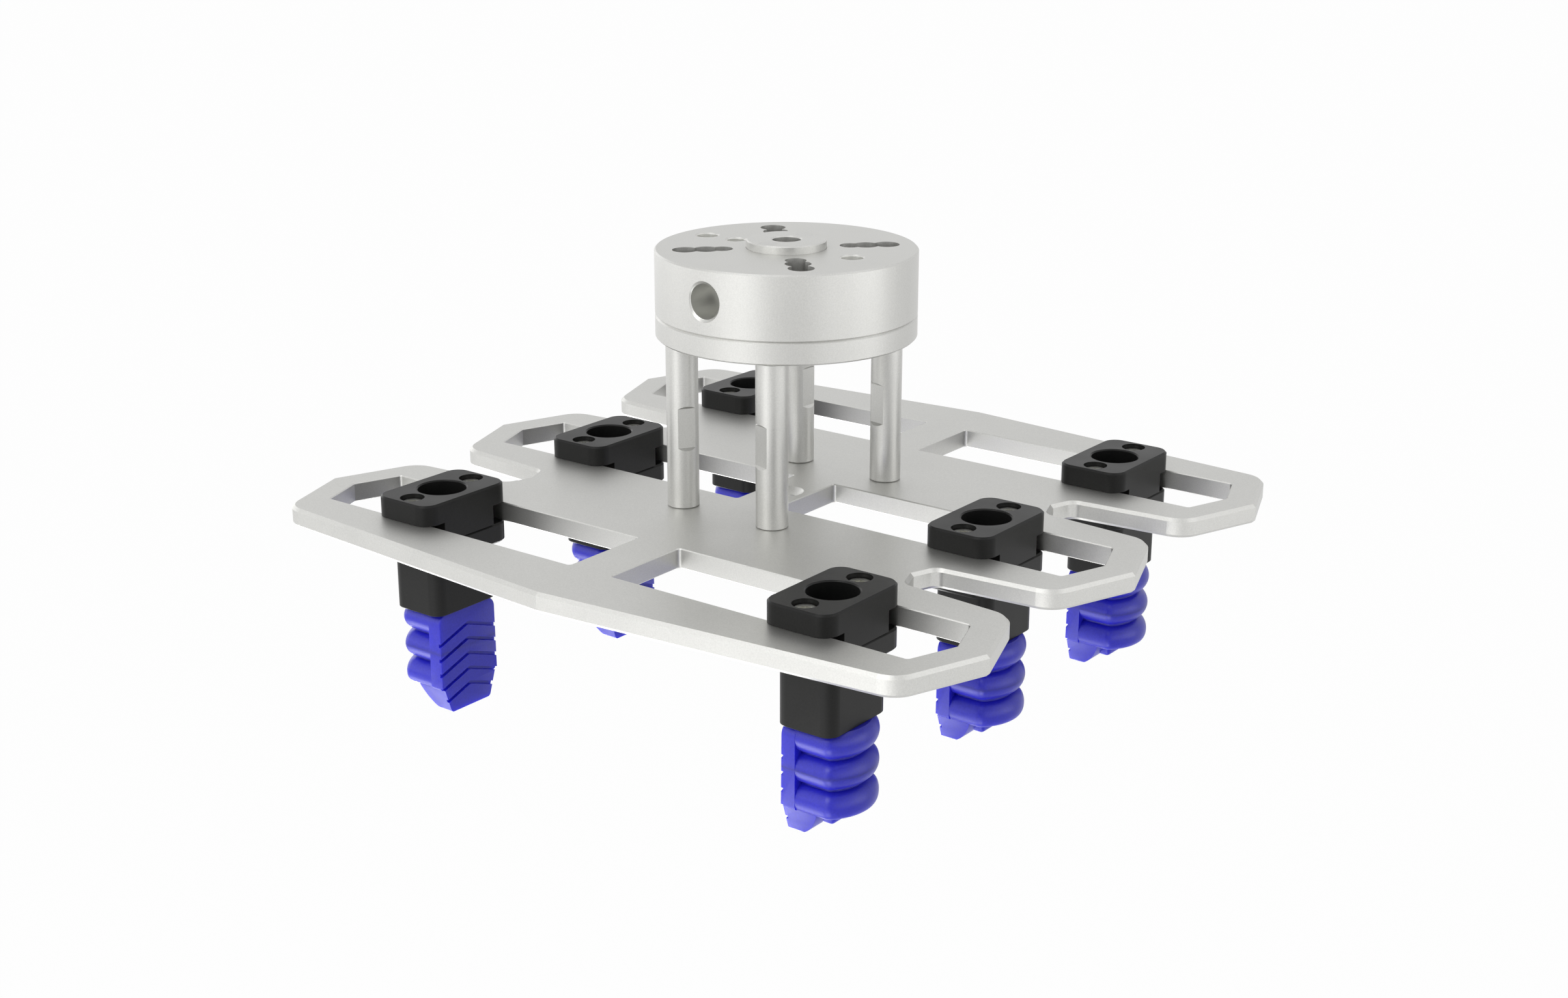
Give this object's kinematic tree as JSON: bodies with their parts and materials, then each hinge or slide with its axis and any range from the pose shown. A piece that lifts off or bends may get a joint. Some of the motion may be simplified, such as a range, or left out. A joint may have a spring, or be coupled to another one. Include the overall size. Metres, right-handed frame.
{
  "type": "soft finger gripper",
  "caption": "Robot wrist gripper: round flange on posts over a slotted plate with sliding clamps, each holding a bellows finger of soft silicone.",
  "frame": {"origin": "centre of the flange's robot-side face, on the pilot boss axis", "axes": "+Z out of the flange towards the robot, X along the plate slots, +Y towards the rear row of fingers"},
  "size_m": [0.2524, 0.2334, 0.1466],
  "materials": {
    "flange_aluminium": "satin bead blasted",
    "plate_aluminium": "satin bead blasted",
    "post_aluminium": "satin turned",
    "boss_screw_aluminium": "satin",
    "screw_steel": "satin",
    "black_anodised": "matte black anodised",
    "insert_black": "matte",
    "seal_rubber": "matte",
    "silicone_blue": "matte translucent silicone"
  },
  "bodies": {
    "frame": {"flange_body": "flange_aluminium", "flange_cover": "flange_aluminium", "cover_seal": "seal_rubber", "cover_screws": "screw_steel", "locating_boss": "flange_aluminium", "boss_screws": "boss_screw_aluminium", "post_front_left": "post_aluminium", "post_front_right": "post_aluminium", "post_rear_left": "post_aluminium", "post_rear_right": "post_aluminium", "post_screws": "screw_steel", "base_plate": "plate_aluminium"},
    "carriage_left_front": {"clamp_top_left_front": "black_anodised", "clamp_screws_left_front": "screw_steel", "finger_holder_left_front": "black_anodised", "air_insert_left_front": "insert_black", "finger_root_left_front": "silicone_blue"},
    "knuckle_left_front": {"finger_middle_left_front": "silicone_blue"},
    "fingertip_left_front": {"finger_tip_left_front": "silicone_blue"},
    "carriage_left_middle": {"clamp_top_left_middle": "black_anodised", "clamp_screws_left_middle": "screw_steel", "finger_holder_left_middle": "black_anodised", "air_insert_left_middle": "insert_black", "finger_root_left_middle": "silicone_blue"},
    "knuckle_left_middle": {"finger_middle_left_middle": "silicone_blue"},
    "fingertip_left_middle": {"finger_tip_left_middle": "silicone_blue"},
    "carriage_left_rear": {"clamp_top_left_rear": "black_anodised", "clamp_screws_left_rear": "screw_steel", "finger_holder_left_rear": "black_anodised", "air_insert_left_rear": "insert_black", "finger_root_left_rear": "silicone_blue"},
    "knuckle_left_rear": {"finger_middle_left_rear": "silicone_blue"},
    "fingertip_left_rear": {"finger_tip_left_rear": "silicone_blue"},
    "carriage_right_front": {"clamp_top_right_front": "black_anodised", "clamp_screws_right_front": "screw_steel", "finger_holder_right_front": "black_anodised", "air_insert_right_front": "insert_black", "finger_root_right_front": "silicone_blue"},
    "knuckle_right_front": {"finger_middle_right_front": "silicone_blue"},
    "fingertip_right_front": {"finger_tip_right_front": "silicone_blue"},
    "carriage_right_middle": {"clamp_top_right_middle": "black_anodised", "clamp_screws_right_middle": "screw_steel", "finger_holder_right_middle": "black_anodised", "air_insert_right_middle": "insert_black", "finger_root_right_middle": "silicone_blue"},
    "knuckle_right_middle": {"finger_middle_right_middle": "silicone_blue"},
    "fingertip_right_middle": {"finger_tip_right_middle": "silicone_blue"},
    "carriage_right_rear": {"clamp_top_right_rear": "black_anodised", "clamp_screws_right_rear": "screw_steel", "finger_holder_right_rear": "black_anodised", "air_insert_right_rear": "insert_black", "finger_root_right_rear": "silicone_blue"},
    "knuckle_right_rear": {"finger_middle_right_rear": "silicone_blue"},
    "fingertip_right_rear": {"finger_tip_right_rear": "silicone_blue"}
  },
  "joints": [
    {"name": "slide_left_front", "type": "slide", "parent": "frame", "child": "carriage_left_front", "axis": [-1, 0, 0], "range_m": [-0.0554, 0.0245]},
    {"name": "bend_upper_left_front", "type": "hinge", "parent": "carriage_left_front", "child": "knuckle_left_front", "pos_m": [-0.0668, -0.0786, -0.11825], "axis": [0, -1, 0], "range_deg": [-4, 15], "stiffness_Nm_per_rad": 0.05},
    {"name": "bend_lower_left_front", "type": "hinge", "parent": "knuckle_left_front", "child": "fingertip_left_front", "pos_m": [-0.0668, -0.0786, -0.12755], "axis": [0, -1, 0], "range_deg": [-4, 15], "stiffness_Nm_per_rad": 0.05},
    {"name": "slide_left_middle", "type": "slide", "parent": "frame", "child": "carriage_left_middle", "axis": [-1, 0, 0], "range_m": [-0.0554, 0.0245]},
    {"name": "bend_upper_left_middle", "type": "hinge", "parent": "carriage_left_middle", "child": "knuckle_left_middle", "pos_m": [-0.0668, 0, -0.11825], "axis": [0, -1, 0], "range_deg": [-4, 15], "stiffness_Nm_per_rad": 0.05},
    {"name": "bend_lower_left_middle", "type": "hinge", "parent": "knuckle_left_middle", "child": "fingertip_left_middle", "pos_m": [-0.0668, 0, -0.12755], "axis": [0, -1, 0], "range_deg": [-4, 15], "stiffness_Nm_per_rad": 0.05},
    {"name": "slide_left_rear", "type": "slide", "parent": "frame", "child": "carriage_left_rear", "axis": [-1, 0, 0], "range_m": [-0.0554, 0.0245]},
    {"name": "bend_upper_left_rear", "type": "hinge", "parent": "carriage_left_rear", "child": "knuckle_left_rear", "pos_m": [-0.0668, 0.0786, -0.11825], "axis": [0, -1, 0], "range_deg": [-4, 15], "stiffness_Nm_per_rad": 0.05},
    {"name": "bend_lower_left_rear", "type": "hinge", "parent": "knuckle_left_rear", "child": "fingertip_left_rear", "pos_m": [-0.0668, 0.0786, -0.12755], "axis": [0, -1, 0], "range_deg": [-4, 15], "stiffness_Nm_per_rad": 0.05},
    {"name": "slide_right_front", "type": "slide", "parent": "frame", "child": "carriage_right_front", "axis": [1, 0, 0], "range_m": [-0.0554, 0.0245]},
    {"name": "bend_upper_right_front", "type": "hinge", "parent": "carriage_right_front", "child": "knuckle_right_front", "pos_m": [0.0668, -0.0786, -0.11825], "axis": [0, 1, 0], "range_deg": [-4, 15], "stiffness_Nm_per_rad": 0.05},
    {"name": "bend_lower_right_front", "type": "hinge", "parent": "knuckle_right_front", "child": "fingertip_right_front", "pos_m": [0.0668, -0.0786, -0.12755], "axis": [0, 1, 0], "range_deg": [-4, 15], "stiffness_Nm_per_rad": 0.05},
    {"name": "slide_right_middle", "type": "slide", "parent": "frame", "child": "carriage_right_middle", "axis": [1, 0, 0], "range_m": [-0.0554, 0.0245]},
    {"name": "bend_upper_right_middle", "type": "hinge", "parent": "carriage_right_middle", "child": "knuckle_right_middle", "pos_m": [0.0668, 0, -0.11825], "axis": [0, 1, 0], "range_deg": [-4, 15], "stiffness_Nm_per_rad": 0.05},
    {"name": "bend_lower_right_middle", "type": "hinge", "parent": "knuckle_right_middle", "child": "fingertip_right_middle", "pos_m": [0.0668, 0, -0.12755], "axis": [0, 1, 0], "range_deg": [-4, 15], "stiffness_Nm_per_rad": 0.05},
    {"name": "slide_right_rear", "type": "slide", "parent": "frame", "child": "carriage_right_rear", "axis": [1, 0, 0], "range_m": [-0.0554, 0.0245]},
    {"name": "bend_upper_right_rear", "type": "hinge", "parent": "carriage_right_rear", "child": "knuckle_right_rear", "pos_m": [0.0668, 0.0786, -0.11825], "axis": [0, 1, 0], "range_deg": [-4, 15], "stiffness_Nm_per_rad": 0.05},
    {"name": "bend_lower_right_rear", "type": "hinge", "parent": "knuckle_right_rear", "child": "fingertip_right_rear", "pos_m": [0.0668, 0.0786, -0.12755], "axis": [0, 1, 0], "range_deg": [-4, 15], "stiffness_Nm_per_rad": 0.05}
  ],
  "couplings": [
    {"joint": "bend_lower_left_front", "follows": "bend_upper_left_front", "ratio": 1},
    {"joint": "bend_upper_left_middle", "follows": "bend_upper_left_front", "ratio": 1},
    {"joint": "bend_lower_left_middle", "follows": "bend_upper_left_front", "ratio": 1},
    {"joint": "bend_upper_left_rear", "follows": "bend_upper_left_front", "ratio": 1},
    {"joint": "bend_lower_left_rear", "follows": "bend_upper_left_front", "ratio": 1},
    {"joint": "bend_upper_right_front", "follows": "bend_upper_left_front", "ratio": 1},
    {"joint": "bend_lower_right_front", "follows": "bend_upper_left_front", "ratio": 1},
    {"joint": "bend_upper_right_middle", "follows": "bend_upper_left_front", "ratio": 1},
    {"joint": "bend_lower_right_middle", "follows": "bend_upper_left_front", "ratio": 1},
    {"joint": "bend_upper_right_rear", "follows": "bend_upper_left_front", "ratio": 1},
    {"joint": "bend_lower_right_rear", "follows": "bend_upper_left_front", "ratio": 1}
  ]
}
